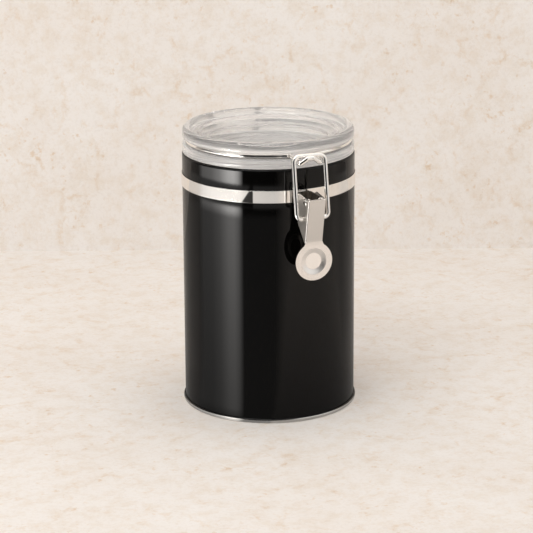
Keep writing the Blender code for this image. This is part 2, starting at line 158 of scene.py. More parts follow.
def turn(name, rings, sides=256, poles=False, loop=False, centreY=axisY):
    # rings are (radius, height, rounding) from one end of the section to the other
    radius, height = rings[0][:2]
    start = {"radius": radius, "location": (0, centreY, height)}
    piece = add(bpy.ops.mesh.primitive_circle_add, name, vertices=sides, **start)
    edit(piece)
    selectAll()
    goals = rings[1:] + rings[:1] if loop else rings[1:]
    for before, after in zip(rings, goals):
        extrude((0, 0, after[1] - before[1]))
        grow = after[0] / before[0]
        bpy.ops.transform.resize(value=(grow, grow, 1), center_override=(0, centreY, after[1]))
    if loop:
        weld()
    if poles:
        closePole(piece, rings[0], centreY)
        closePole(piece, rings[-1], centreY)
    for ring in rings:
        if len(ring) > 2:
            roundRing(piece, ring, centreY)
    leaveFacingOut()
    smooth(piece)
    return piece


def onRing(vert, ring, centreY):
    away = math.hypot(vert.co.x, vert.co.y - centreY)
    return abs(away - ring[0]) < ringNear and abs(vert.co.z - ring[1]) < ringNear


def closePole(piece, ring, centreY):
    selectBy("VERT")
    pick(piece, lambda vert: onRing(vert, ring, centreY))
    selectBy("EDGE")
    extrude((0, 0, 0))
    bpy.ops.mesh.merge(type="CENTER")


def roundRing(piece, ring, centreY):
    width, steps = ring[2:]
    selectBy("EDGE")
    if pick(piece, lambda edge: all(onRing(vert, ring, centreY) for vert in edge.verts), "edges"):
        bpy.ops.mesh.bevel(offset=width, segments=steps, affect="EDGES")


def arcPoints(centre, radius, start, stop, steps):
    angles = [math.radians(start + (stop - start) * i / steps) for i in range(steps + 1)]
    return [(centre[0] + radius * math.cos(angle), centre[1] + radius * math.sin(angle)) for angle in angles]


def bendWire(name, corners, bends, thickness):
    # a round wire that starts at the first corner
    turned = (corners[1] - corners[0]).to_track_quat("Z", "Y").to_euler()
    start = {"radius": thickness, "location": corners[0], "rotation": turned}
    piece = add(bpy.ops.mesh.primitive_circle_add, name, vertices=20, **start)
    edit(piece)
    selectAll()
    pushAlong(corners, bends)
    return piece


def pushAlong(corners, bends):
    # the wire's open end is pushed along straight runs and spun round each bend
    here = corners[0]
    for before, corner, after, bend in zip(corners, corners[1:], corners[2:], bends):
        start, stop, middle, axle, turned = bendAt(before, corner, after, bend)
        pushTo(start - here)
        sweep(middle, axle, turned)
        here = stop
    pushTo(corners[-1] - here)


def bendAt(before, corner, after, radius):
    # where a bend starts and stops, its middle, its axle and how far it turns
    back = (before - corner).normalized()
    on = (after - corner).normalized()
    half = back.angle(on) / 2
    run = radius / math.tan(half)
    middle = corner + (back + on).normalized() * (radius / math.sin(half))
    return corner + back * run, corner + on * run, middle, back.cross(on).normalized(), math.pi - 2 * half


def pushTo(step):
    if step.length > near:
        extrude(step)


def sweep(middle, axle, angle, fine=9):
    steps = max(2, math.ceil(math.degrees(angle) / fine))
    bpy.ops.mesh.spin(steps=steps, angle=angle, center=middle, axis=axle)


def finishWire(piece):
    # closes both ends, each with a small rounding
    weld()
    selectBy("EDGE")
    pickOpenEdges(piece)
    bpy.ops.mesh.edge_face_add()
    pick(piece, lambda face: len(face.verts) > 6, "faces")  # only the ends
    bpy.ops.mesh.bevel(offset=0.00015, segments=2, affect="EDGES")
    leaveFacingOut()
    smooth(piece, 50)


def mirrored(corners):
    return [Vector((-corner.x, corner.y, corner.z)) for corner in reversed(corners)]


def flatShape(name, loops, thickness, place):
    # a flat outline with its holes as a filled curve, made a mesh and stood up
    curve = bpy.data.curves.new(name, "CURVE")
    curve.dimensions = "2D"
    curve.fill_mode = "BOTH"
    curve.extrude = thickness / 2
    for loop in loops:
        spline = curve.splines.new("POLY")
        spline.points.add(len(loop) - 1)
        for point, (across, up) in zip(spline.points, loop):
            point.co = (across, up, 0, 1)
        spline.use_cyclic_u = True
    piece = bpy.data.objects.new(name, curve)
    scene.collection.objects.link(piece)
    choose(piece)
    bpy.ops.object.convert(target="MESH")
    piece = bpy.context.object
    piece.matrix_world = place
    settle(piece)
    edit(piece)
    weld()
    leave()
    return piece


def cut(piece, tool):
    modifier = piece.modifiers.new("Cut", "BOOLEAN")
    modifier.operation = "DIFFERENCE"
    modifier.solver = "EXACT"
    modifier.object = tool
    applyAll(piece)
    bpy.data.objects.remove(tool, do_unlink=True)


def addRod(radius, place, length=0.04, sides=48, tilt=math.pi / 2):
    # a cylinder to cut with, which lies from side to side unless its tilt is 0
    size = {"vertices": sides, "radius": radius, "depth": length}
    return add(bpy.ops.mesh.primitive_cylinder_add, "rod", location=place, rotation=(0, tilt, 0), **size)


def front(distance, height, across=0.0):
    # a point given by its distance from the tin's axis towards the latch
    return Vector((across, axisY - distance, height))


# Helpers for materials. A socket knows its tree, so only the start of a chain is given it

def newMaterial(name):
    made = bpy.data.materials.new(name)
    made.use_nodes = True
    return made, made.node_tree


def feed(node, values):
    # sets each named input, or links it where its value comes from another node
    for name, value in values.items():
        if isinstance(value, bpy.types.NodeSocket):
            node.id_data.links.new(value, node.inputs[name])
        else:
            node.inputs[name].default_value = value
    return node


def paint(made, values):
    feed(made.node_tree.nodes["Principled BSDF"], values)
    return made


def addNode(tree, kind, values, **settings):
    node = tree.nodes.new("ShaderNode" + kind)
    for name, setting in settings.items():
        setattr(node, name, setting)
    return feed(node, values)


def objectCoords(tree, scale=(1, 1, 1)):
    coords = addNode(tree, "TexCoord", {}).outputs["Object"]
    return addNode(tree, "Mapping", {"Vector": coords, "Scale": scale}).outputs["Vector"]


def coordinate(tree, axis):
    return addNode(tree, "SeparateXYZ", {"Vector": objectCoords(tree)}).outputs[axis]


def noise(vector, scale, detail=4.0, rough=0.55, output="Fac"):
    values = {"Vector": vector, "Scale": scale, "Detail": detail, "Roughness": rough}
    return addNode(vector.id_data, "TexNoise", values).outputs[output]


def spread(value, low, high, fromLow=0.3, fromHigh=0.7):
    values = {"Value": value, "From Min": fromLow, "From Max": fromHigh, "To Min": low, "To Max": high}
    return addNode(value.id_data, "MapRange", values).outputs["Result"]


def ramp(value, stops):
    # stops are (place along the ramp, colour)
    made = addNode(value.id_data, "ValToRGB", {"Fac": value})
    elements = made.color_ramp.elements
    while len(elements) < len(stops):
        elements.new(0.5)
    for element, (place, colour) in zip(elements, stops):
        element.position = place
        element.color = (*colour, 1)
    return made.outputs["Color"]


def tint(value, dark, light, low=0.3, high=0.7):
    return ramp(value, [(low, dark), (high, light)])


def bump(height, strength, distance):
    values = {"Height": height, "Strength": strength, "Distance": distance}
    return addNode(height.id_data, "Bump", values).outputs["Normal"]


def combine(operation, result, *others):
    for other in others:
        result = addNode(result.id_data, "Math", {0: result, 1: other}, operation=operation).outputs[0]
    return result


def vectorMath(operation, *values, output="Vector"):
    made = addNode(values[0].id_data, "VectorMath", dict(enumerate(values)), operation=operation)
    return made.outputs[output]


def blend(factor, one, other):
    return addNode(factor.id_data, "Mix", {"Factor": factor, "A": one, "B": other}).outputs["Result"]


def fromAxis(tree):
    # the level vector from the tin's axis, and its length
    flat = vectorMath("MULTIPLY_ADD", objectCoords(tree), (1, 1, 0), (0, -axisY, 0))
    return flat, vectorMath("LENGTH", flat, output="Value")


def roundAxis(tree, radialScale, heightScale, turnScale):
    # coordinates that run round the tin's axis, for marks left by turning and moulding
    flat, length = fromAxis(tree)
    depth = addNode(tree, "CombineXYZ", {"X": length, "Y": coordinate(tree, "Z")}).outputs["Vector"]
    scaled = vectorMath("MULTIPLY", depth, (radialScale, heightScale, 0))
    return vectorMath("MULTIPLY_ADD", vectorMath("NORMALIZE", flat), (turnScale,) * 3, scaled)


# Materials

lacquerLook = {
    "colour": (0.0012, 0.0011, 0.0010),
    "cloud": 1.5,  # how much lighter its pale clouds are
    "depth": 1.05,  # index of the paint under the clear coat, nearly without gloss
    "rough": (0.26, 0.36),
    "coat": 0.48,
    "coatIndex": 1.5,
    "gloss": 0.03,
    "peel": (0.02, 0.00005),
}


def makeLacquer():
    look = lacquerLook
    made, tree = newMaterial("blackLacquer")
    place = objectCoords(tree)
    light = tuple(channel * look["cloud"] for channel in look["colour"])
    skin = bump(noise(place, 260.0, 2.0), *look["peel"])
    return paint(made, {
        "Base Color": tint(noise(place, 38.0, 3.0), look["colour"], light),
        "IOR": look["depth"],
        "Roughness": spread(noise(place, 900.0, 2.0), *look["rough"]),
        "Coat Weight": look["coat"],
        "Coat Roughness": look["gloss"],
        "Coat IOR": look["coatIndex"],
        "Normal": skin,
        "Coat Normal": skin,
    })


grainDepth = 0.00004  # of the fine marks in every metal and in the lining

# colour, roughness from and to, how drawn out the grain is, its scale and strength, share left by dirt
metalLooks = {
    "barePlate": ((0.86, 0.84, 0.81), (0.14, 0.24), 0.08, 900.0, 0.06, 0.85),
    "brightSteel": ((0.90, 0.87, 0.83), (0.015, 0.035), 0.05, 1400.0, 0.02, 0.95),
    # a lighter copy of the lever's steel: a painted highlight on the thumb disc
    "litDiscSteel": ((1.0, 0.97, 0.94), (0.16, 0.22), 0.10, 1100.0, 0.03, 0.97),
    "dishSteel": ((0.90, 0.865, 0.83), (0.30, 0.38), 0.10, 1100.0, 0.03, 0.97),
    # a darker copy of the lever's steel: painted shade on the folded cheeks
    "shadedCheekSteel": ((0.64, 0.60, 0.555), (0.40, 0.54), 0.10, 1100.0, 0.05, 0.90),
}


def makeMetal(name):
    colour, rough, drawn, grain, strength, clean = metalLooks[name]
    made, tree = newMaterial(name)
    dark = tuple(channel * clean for channel in colour)
    lines = noise(objectCoords(tree, (1, 1, drawn)), grain, 4.0, 0.6)
    return paintMetal(made, tint(noise(objectCoords(tree), 60.0, 5.0), dark, colour), lines, rough, strength)


def paintMetal(made, colour, lines, rough, strength):
    return paint(made, {
        "Metallic": 1.0,
        "Base Color": colour,
        "Roughness": spread(lines, *rough),
        "Normal": bump(lines, strength, grainDepth),
    })


satinLook = {
    "pad": (0.91, 0.875, 0.845),  # the pad, lighter than the plate
    # the plate is painted darker than the pad, as shade from the dim floor near the foot that it mirrors
    "plate": (0.75, 0.72, 0.69),
    "change": (0.1080, 0.1125),  # heights between which the one turns into the other
    "rough": (0.17, 0.26),
}


def makeSatin():
    look = satinLook
    made, tree = newMaterial("satinSteel")
    lines = noise(objectCoords(tree, (1, 1, 0.10)), 1100.0, 4.0, 0.6)
    up = spread(coordinate(tree, "Z"), 0, 1, *look["change"])
    # painted shade: the plate darker than the pad, mixed with the grain's mottle
    shadeAndMottle = combine("ADD", up, spread(lines, -0.08, 0.08))
    colour = tint(shadeAndMottle, look["pad"], look["plate"], 0.0, 1.0)
    return paintMetal(made, colour, lines, look["rough"], 0.04)


wireLook = {
    "polished": (0.96, 0.94, 0.91),
    "paintedShade": (0.20, 0.18, 0.165),  # painted shade on the back of the wire, in the groove and at the hinge
    "fade": (0.012, 0.030),  # how far behind the tin's axis the painted shade sets in
    "under": (0.1545, 0.1551),  # the ring's underside is painted dark, as shade in the groove, up to this height
    "underShade": 0.85,
    "ringEnd": (0.0483, 0.0487),
    "rough": (0.02, 0.05),
}


def makeWireSteel():
    look = wireLook
    made, tree = newMaterial("wireSteel")
    cloud = noise(objectCoords(tree), 500.0, 4.0, 0.6)
    back = spread(coordinate(tree, "Y"), 0, 1, *(axisY + distance for distance in look["fade"]))
    under = spread(coordinate(tree, "Z"), look["underShade"], 0, *look["under"])
    ring = spread(fromAxis(tree)[1], 1, 0, *look["ringEnd"])
    # painted shade on the wire's back and on the ring's underside, with a random mottle
    shaded = combine("MAXIMUM", back, combine("MULTIPLY", under, ring))
    shadeAndMottle = combine("ADD", shaded, spread(cloud, -0.04, 0.06))
    colour = tint(shadeAndMottle, look["polished"], look["paintedShade"], 0.0, 1.0)
    return paintMetal(made, colour, cloud, look["rough"], 0.02)


plasticLook = {
    "index": 1.49,
    "shine": 0.3,
    "clear": (0.78, 1.0),  # share of light that goes through, in the milky and the clear streaks
    "tintLow": (0.96, 0.95, 0.945),
    "tintHigh": (0.99, 0.985, 0.98),
    "gloss": (0.0, 0.015),
    "flow": (0.03, 0.0006),
    "cloudy": 0.22,  # how much less goes through the thick rim, outside this radius and below this height
    "cloudyFrom": (0.0435, 0.1615),
    "cloudyFade": (0.001, 0.0015),
}


def makePlastic():
    look = plasticLook
    made, tree = newMaterial("clearPlastic")
    streaks = noise(roundAxis(tree, 700, 900, 1.6), 1.0, 4.0, 0.6)
    ribs = noise(roundAxis(tree, 420, 620, 2.2), 1.0, 3.0, 0.5)
    haze = noise(objectCoords(tree), 45.0, 4.0)
    radius, height = look["cloudyFrom"]
    wider, lower = look["cloudyFade"]
    outside = spread(fromAxis(tree)[1], 0, 1, radius, radius + wider)
    below = spread(coordinate(tree, "Z"), look["cloudy"], 0, height - lower, height)
    cloudy = combine("MULTIPLY", outside, below)
    return paint(made, {
        "IOR": look["index"],
        "Specular IOR Level": look["shine"],
        "Base Color": tint(haze, look["tintLow"], look["tintHigh"]),
        "Transmission Weight": combine("SUBTRACT", spread(streaks, *look["clear"]), cloudy),
        "Roughness": spread(haze, *look["gloss"]),
        "Normal": bump(ribs, *look["flow"]),
    })


def makeSeal():
    made, tree = newMaterial("softSeal")
    cloud = noise(objectCoords(tree), 120.0, 4.0)
    return paint(made, {
        "Base Color": tint(cloud, (0.66, 0.65, 0.62), (0.80, 0.79, 0.77)),
        "Roughness": spread(cloud, 0.40, 0.58),
        "Subsurface Weight": 0.15,
        "Subsurface Radius": (0.002, 0.0018, 0.0016),
        "Normal": bump(cloud, 0.08, 0.0001),
    })


def makeLining():
    # the pale, satin inside of the tin
    made, tree = newMaterial("paleLining")
    cloud = noise(objectCoords(tree), 30.0, 4.0)
    lines = noise(objectCoords(tree, (1, 1, 0.08)), 700.0, 4.0)
    return paint(made, {
        "Base Color": tint(cloud, (0.58, 0.565, 0.56), (0.66, 0.65, 0.64)),
        "Metallic": 0.1,
        "Roughness": spread(lines, 0.34, 0.5),
        "Normal": bump(lines, 0.05, grainDepth),
    })


lacquer = makeLacquer()
lining = makeLining()
tinplate, brightSteel, litDiscSteel, dishSteel, shadedCheekSteel = (makeMetal(name) for name in metalLooks)
satinSteel = makeSatin()
wireSteel = makeWireSteel()
clearPlastic = makePlastic()
softSeal = makeSeal()
print("materials made")


def dress(piece, material, body, node):
    piece.data.materials.clear()
    piece.data.materials.append(material)
    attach(piece, body)
    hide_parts(node)


# The tin

tinSizes = {
    "radius": 0.0495,
    "wall": 0.0004,
    "foot": 0.0007,
    "rows": (0.045, 0.1),  # heights at which the wall's faces are divided
    "top": 0.1484,
    "curl": 0.00125,
    "curlTurn": 240,
}


def makeTin():
    size = tinSizes
    outer = size["radius"]
    inner = outer - size["wall"]
    curl = (outer - size["curl"], size["top"] - size["curl"])
    low, high = size["rows"]
    rings = [(outer, size["foot"]), (outer, low), (outer, high)]
    rings += arcPoints(curl, size["curl"], 0, size["curlTurn"], 22)
    rings += arcPoints(curl, size["curl"] - size["wall"], size["curlTurn"], 0, 18)
    rings += [(inner, high), (inner, size["foot"])]
    piece = turn("tinBody", rings, loop=True)
    dress(piece, lacquer, "tin", "tin_body")
    piece.data.materials.append(lining)
    for face in piece.data.polygons:
        inwards = face.normal.x * face.center.x + face.normal.y * (face.center.y - axisY) < 0
        if inwards and face.center.z < curl[1]:
            face.material_index = 1


baseSizes = {
    "radius": 0.0505,
    "seam": 0.0028,
    "widest": 0.55,  # share of the seam's height at which it is widest
    "rollIn": (0.0008, 0.0011),  # how far the roll goes in above and below that
    "seamIn": (0.0497, 0.0498),
    "seamTop": 0.0001,
    "seamInside": 0.0005,
    "lacquered": 0.0021,  # the lacquer runs down over the seam to here
    "panel": 0.0032,
    "sheet": 0.00035,
    "play": 0.0003,
    "edge": 0.0004,
    "ringOut": (0.0046, 0.0054),  # the sunk ring's outer edge, in from the seam's wall
    "ringIn": (0.0260, 0.0254),
    "sunk": 0.0008,
    "middle": 0.0004,
    "hole": 0.0040,
}


def makeBase():
    size = baseSizes
    play, edge, wall = size["play"], size["edge"], size["sheet"]
    chuck = tinSizes["radius"] - tinSizes["wall"] - play - wall
    under = size["panel"] - wall
    sunk = under - size["sunk"]
    middle = under - size["middle"]
    ringStart, ringStop = (chuck - distance for distance in size["ringOut"])
    ringEnd, panelStart = size["ringIn"]
    rings = [(size["seamIn"][0], size["seam"] - size["seamTop"])]
    rings += rollRings()
    rings += [(chuck + play, 0.0), (chuck, edge), (chuck, under - edge), (chuck - edge, under)]
    rings += [(ringStart, under), (ringStop, sunk), (ringEnd, sunk)]
    rings += [(panelStart, middle), (size["hole"], middle)]
    rings += [(size["hole"], middle + wall), (panelStart, middle + wall)]
    rings += [(ringEnd, sunk + wall), (ringStop, sunk + wall), (ringStart, size["panel"])]
    rings += [(chuck + 0.0001, size["panel"]), (chuck + wall, under), (chuck + wall, size["seamInside"])]
    rings += [(size["seamIn"][1], size["seamInside"])]
    piece = turn("baseEnd", rings)
    edit(piece, "EDGE")
    pickOpenEdges(piece)
    bpy.ops.mesh.bridge_edge_loops()
    leaveFacingOut()
    dress(piece, tinplate, "tin", "base_end")
    piece.data.materials.append(lacquer)
    for face in piece.data.polygons:
        distance = math.hypot(face.center.x, face.center.y - axisY)
        if distance > tinSizes["radius"] - 0.0001 and face.center.z > size["lacquered"]:
            face.material_index = 1


def rollRings():
    # the outside of the double seam, round above and below its widest place
    outer, seam = baseSizes["radius"], baseSizes["seam"]
    wide = seam * baseSizes["widest"]
    above, below = baseSizes["rollIn"]
    rings = []
    for angle in map(math.radians, range(90, -1, -10)):
        rings.append((outer - above * (1 - math.cos(angle)), wide + (seam - wide) * math.sin(angle)))
    for angle in map(math.radians, range(10, 91, 10)):
        rings.append((outer - below * (1 - math.cos(angle)), wide * (1 - math.sin(angle))))
    return rings


bandSizes = {
    "low": 0.1295,
    "high": 0.1365,
    "inner": 0.04965,
    "outer": 0.0500,
    "edge": 0.00012,
}


def makeBand():
    size = bandSizes
    outer, inner, edge = size["outer"], size["inner"], size["edge"]
    rings = [(outer, size["low"], edge, 3), (outer, size["high"], edge, 3)]
    rings += [(inner, size["high"], edge, 2), (inner, size["low"], edge, 2)]
    piece = turn("clampBand", rings, loop=True)
    dress(piece, brightSteel, "tin", "clamp_band")


makeTin()
makeBase()
makeBand()
print("tin, base and band made")

# The lid

lidSizes = {
    "rim": 0.0492,
    "low": 0.1487,
    "grooveLow": 0.1537,
    "grooveHigh": 0.1570,
    "groove": 0.0453,
    "lips": (0.0007, 0.0011),  # the rounding of the groove's lower and upper lip
    "line": (0.15165, 0.1514, 0.1509, 0.15065),  # the fine line round the collar, and its depth
    "lineDepth": 0.00035,
    "top": 0.1633,
    "bead": 0.0050,
    "wall": 0.0020,
    "drops": (0.0034, 0.0036, 0.0044),  # how far down to the dish's ledge, step and panel
    "gate": 0.0040,  # the flat in the middle, where the plastic was let in
    "panel": (0.0310, 0.0318),  # radii on the lid's upper and lower side
    "stepIn": (0.0347, 0.0355),
    "stepOut": (0.0365, 0.0373),
    "ledgeIn": (0.0394, 0.0402),
    "ledgeOut": 0.0433,
    "plug": 0.0465,
    "plugLow": 0.1432,
    "chamfer": (0.0455, 0.1442),
    "seal": (0.0453, 0.1450, 0.1480),  # the groove for the gasket: its floor, its lower and upper side
}


def makeLid():
    size = lidSizes
    rim, low, top, plug = size["rim"], size["low"], size["top"], size["plug"]
    grooveLow, grooveHigh, groove = size["grooveLow"], size["grooveHigh"], size["groove"]
    lowLip, highLip = size["lips"]
    half = size["bead"] / 2
    ledge = top - size["drops"][0]
    step = ledge - size["drops"][1]
    panel = step - size["drops"][2]
    rings = [(size["gate"], panel), (size["panel"][0], panel, 0.0009, 5)]
    rings += [(size["stepIn"][0], step, 0.0006, 4), (size["stepOut"][0], step, 0.0006, 4)]
    rings += [(size["ledgeIn"][0], ledge, 0.0006, 4), (size["ledgeOut"], ledge, 0.0006, 4)]
    rings += arcPoints((rim - half, top - half), half, 172, 0, 20)
    rings += arcPoints((rim - highLip, grooveHigh + highLip), highLip, 0, -90, 6)
    rings += [(groove, grooveHigh, 0.0004, 3), (groove, grooveLow, 0.0004, 3)]
    rings += arcPoints((rim - lowLip, grooveLow - lowLip), lowLip, 90, 0, 5)
    lineTop, lineHigh, lineLow, lineEnd = size["line"]
    deep = rim - size["lineDepth"]
    rings += [(rim, lineTop), (deep, lineHigh, 0.0001, 2), (deep, lineLow, 0.0001, 2), (rim, lineEnd)]
    rings += [(rim, low, 0.0003, 3), (plug, low, 0.0002, 2)]
    sealFloor, sealLow, sealHigh = size["seal"]
    rings += [(plug, sealHigh), (sealFloor, sealHigh), (sealFloor, sealLow), (plug, sealLow)]
    rings += [(plug, size["chamfer"][1]), (size["chamfer"][0], size["plugLow"], 0.0002, 2)]
    rings += [(size["ledgeOut"], size["plugLow"], 0.0004, 3)]
    ledge, step, panel = (height - size["wall"] for height in (ledge, step, panel))
    rings += [(size["ledgeOut"], ledge, 0.0008, 4), (size["ledgeIn"][1], ledge, 0.0006, 4)]
    rings += [(size["stepOut"][1], step, 0.0005, 3), (size["stepIn"][1], step, 0.0006, 3)]
    rings += [(size["panel"][1], panel, 0.0009, 5), (size["gate"], panel)]
    piece = turn("clearLid", rings, poles=True)
    dress(piece, clearPlastic, "lid", "clear_lid")
    piece.visible_shadow = False  # the lamps light the inside of the tin through it


gasketSizes = {
    "inner": 0.0455,
    "outer": 0.0468,
    "lip": 0.0464,
    "top": 0.1478,
    "low": 0.1452,
    "lipRound": 0.0008,
    "waist": 0.0013,
}


def makeGasket():
    size = gasketSizes
    inner, outer, lip = size["inner"], size["outer"], size["lip"]
    low, top = size["low"], size["top"]
    rings = [(inner, low, 0.0001, 2), (lip, low, 0.0002, 2)]
    rings += [(outer, low + size["lipRound"], 0.0003, 3), (lip, low + size["waist"], 0.0002, 2)]
    rings += [(outer, top - size["lipRound"], 0.0003, 3), (lip, top, 0.0002, 2), (inner, top, 0.0001, 2)]
    piece = turn("lidGasket", rings, sides=192, loop=True)
    dress(piece, softSeal, "lid", "lid_gasket")


wireSizes = {
    "radius": 0.0013,
    "ring": 0.0469,
    "height": 0.15535,
    "noseHalf": 0.0061,
    "armHalf": 0.0154,
    "hinge": 0.0565,
    "hingeHeight": 0.1480,
    "hingeEnd": 0.0124,
    "bend": 0.0022,
    "armBends": [0.0013, 0.0022, 0.0011],
    "bar": 0.0593,  # where the bail's bar lies, with the nose's crest in front
    "noseDrop": 0.0004,
    "dip": (0.0009, 0.0011),  # how far behind the crest it lies, and how deep
    "crest": (0.0001, 0.0019, 0.0018),  # its play before the bar, its height and half its width
    "noseBends": [0.0011, 0.0011, 0.0007, 0.0011],
    "fine": 2.2,  # degrees for each step round the ring
}


def makeLidWire():
    # hinge end, arm, half ring, nose, half ring, arm, hinge end, pushed along from one end
    size = wireSizes
    ring, high, arm, nose = size["ring"], size["height"], size["armHalf"], size["noseHalf"]
    thick = size["radius"]
    behind = math.asin((arm + size["bend"]) / ring)
    ahead = math.asin((nose + size["bend"]) / ring)
    level = high - size["noseDrop"]
    play, crestRise, crestHalf = size["crest"]
    dipBack, dipDepth = size["dip"]
    crest = size["bar"] + 2 * thick + play
    dip = crest - dipBack

    def onCircle(angle):
        return Vector((ring * math.sin(angle), axisY + ring * math.cos(angle), high))

    def sweepRing():
        sweep(Vector((0, axisY, high)), Vector((0, 0, 1)), math.pi - behind - ahead, size["fine"])

    ringEnd = onCircle(math.pi - ahead)
    hinge = axisY + size["hinge"]
    armCorners = [
        Vector((size["hingeEnd"], hinge, size["hingeHeight"])),
        Vector((arm, hinge, size["hingeHeight"])),
        Vector((arm, hinge, high)),
        Vector((arm, axisY + math.sqrt(ring ** 2 - arm ** 2) + thick, high)),
        onCircle(behind),
    ]
    noseCorners = [
        ringEnd,
        Vector((nose, ringEnd.y - thick, high)),
        front(size["bar"], level, nose),
        front(dip, level - dipDepth, nose),
        front(crest, level + crestRise, crestHalf),
    ]
    piece = bendWire("lidWire", armCorners, size["armBends"], thick)
    sweepRing()
    pushAlong(noseCorners + mirrored(noseCorners), size["noseBends"] + size["noseBends"][::-1])
    sweepRing()
    pushAlong(mirrored(armCorners), size["armBends"][::-1])
    finishWire(piece)
    dress(piece, wireSteel, "lid", "lid_wire")


makeLid()
makeGasket()
makeLidWire()
print("lid, seal and wire made")

# The clamp

bailSizes = {
    "radius": 0.0013,
    "half": 0.0093,
    "bar": (0.0593, 0.1579),
    "hook": (0.0646, 0.1238),
    "end": 0.0043,
    "bends": [0.0026, 0.0034],  # at the hook and at the bar
}


def makeBail():
    size = bailSizes
    half, hook = size["half"], size["hook"]
    corners = [front(*hook, size["end"]), front(*hook, half), front(*size["bar"], half)]
    bends = size["bends"] + size["bends"][::-1]
    piece = bendWire("latchBail", corners + mirrored(corners), bends, size["radius"])
    finishWire(piece)
    dress(piece, wireSteel, "bail", "latch_bail")


leverSizes = {
    "half": 0.0052,
    "sheet": 0.0006,
    "fold": 0.0007,
    "edge": 0.00026,
    "top": (0.0714, 0.1355),
    "neck": (0.0664, 0.1106),
    "cheekTop": (0.0568, 0.1369),
    "cheekLow": (0.0558, 0.1192),
    "cheekFoot": (0.0652, 0.1100),
    "cheekRound": 0.0020,
    "cheekRows": 6,
    "pad": 0.0109,
    "shoulder": 0.0030,
    "disc": 0.0046,
    "discDepth": 0.0009,
    "discSlope": 0.0030,
    "discSteps": 12,
    "pin": (0.0670, 0.1335),
    "pinHole": 0.00135,
    "hook": (0.0646, 0.1238),
    "hookHole": 0.0016,
}


def makeLever():
    size = leverSizes
    neckDistance, neckHeight = size["neck"]
    shoulder, pad = size["shoulder"], size["pad"]
    filletOut = size["half"] + shoulder
    filletRise = math.sqrt((pad + shoulder) ** 2 - filletOut ** 2)
    padHeight = neckHeight - filletRise
    touch = math.degrees(math.atan2(filletRise, filletOut))
    foot = size["disc"] + size["discSlope"]
    right = arcPoints((filletOut, neckHeight), shoulder, 180, 180 + touch, 10)
    right += arcPoints((0, padHeight), pad, touch, -90, 44)[1:]
    outline = right + [(-across, up) for across, up in reversed(right[:-1])]
    hole = arcPoints((0, padHeight), foot, 0, 355, 71)
    stand = Matrix.Translation((0, axisY - neckDistance, 0)) @ Matrix.Rotation(math.pi / 2, 4, "X")
    piece = flatShape("latchLever", [outline, hole], 0, stand)
    pressDish(piece, foot, padHeight)
    profile = cheekProfile()
    drawPlate(piece, profile)
    for side in (1, -1):
        foldCheek(piece, side, profile)
    roundFolds(piece)
    weld()
    bpy.ops.mesh.normals_make_consistent(inside=False)
    faceOut(piece, neckDistance, padHeight)
    leave()

    wall = piece.modifiers.new("Sheet", "SOLIDIFY")
    wall.thickness = size["sheet"]
    wall.offset = -1
    wall.use_even_offset = True
    applyAll(piece)
    cut(piece, addRod(size["pinHole"], front(*size["pin"])))
    cut(piece, addRod(size["hookHole"], front(*size["hook"])))
    softenEdges(piece, size["edge"], 3)
    smooth(piece, 40)
    dress(piece, satinSteel, "lever", "latch_lever")
    for steel in (litDiscSteel, dishSteel, shadedCheekSteel):
        piece.data.materials.append(steel)
    inside = 0.0001
    # the disc gets the lighter copy of the steel (painted highlight), the cheeks the darker copy (painted
    # shade)
    for face in piece.data.polygons:
        away = math.hypot(face.center.x, face.center.z - padHeight)
        if away < size["disc"] - inside:
            face.material_index = 1
        elif away < foot - inside:
            face.material_index = 2
        elif abs(face.normal.x) > 0.8 and face.center.z > neckHeight:
            face.material_index = 3


def pressDish(piece, foot, padHeight):
    # the thumb dish is pressed into the pad, down to a flat disc
    size = leverSizes
    steps = size["discSteps"]
    edit(piece, "EDGE")

    def onFoot(vert):
        return abs(math.hypot(vert.co.x, vert.co.z - padHeight) - foot) < ringNear

    pick(piece, lambda edge: all(onFoot(vert) for vert in edge.verts), "edges")
    radius = foot
    sunk = 0.0
    for i in range(1, steps + 1):
        along = i / steps
        nextRadius = foot - size["discSlope"] * along
        sink = size["discDepth"] * (0.6 * along + 0.4 * along * along * (3 - 2 * along))
        extrude((0, sink - sunk, 0))
        shrink = nextRadius / radius
        middle = (0, axisY - size["neck"][0] + sink, padHeight)
        bpy.ops.transform.resize(value=(shrink, 1, shrink), center_override=middle)
        radius, sunk = nextRadius, sink
    bpy.ops.mesh.edge_face_add()


def drawPlate(piece, profile):
    # the plate is drawn up from the neck, row by row
    half = leverSizes["half"]
    neckDistance, neckHeight = leverSizes["neck"]
    topDistance, topHeight = leverSizes["top"]

    def onNeck(vert):
        return abs(vert.co.z - neckHeight) < near and abs(vert.co.x) < half + near

    pick(piece, lambda edge: all(onNeck(vert) for vert in edge.verts), "edges")
    for before, after in zip(profile, profile[1:]):
        step = after[0] - before[0]
        extrude((0, -(topDistance - neckDistance) * step, (topHeight - neckHeight) * step))


def cheekProfile():
    # rows of (place along the plate, distance and height of the cheek's back edge)
    size = leverSizes
    foot, bottom, top, end = size["cheekFoot"], size["cheekLow"], size["cheekTop"], size["top"]
    low = roundCorner(foot, bottom, top, size["cheekRound"], 8)
    high = roundCorner(bottom, top, end, size["cheekRound"], 8)
    edge = [foot] + between(foot, low[0]) + low + between(low[-1], high[0]) + high
    return [(i / (len(edge) - 1), point) for i, point in enumerate(edge)]


def between(start, stop):
    rows = leverSizes["cheekRows"]
    return [tuple(a + (b - a) * i / rows for a, b in zip(start, stop)) for i in range(1, rows)]


def roundCorner(before, corner, after, radius, steps):
    spots = [Vector((*point, 0)) for point in (before, corner, after)]
    start, _, middle, axle, turned = bendAt(*spots, radius)
    spoke = start - middle
    points = [middle + Matrix.Rotation(-turned * i / steps, 3, axle) @ spoke for i in range(steps + 1)]
    return [(point.x, point.y) for point in points]


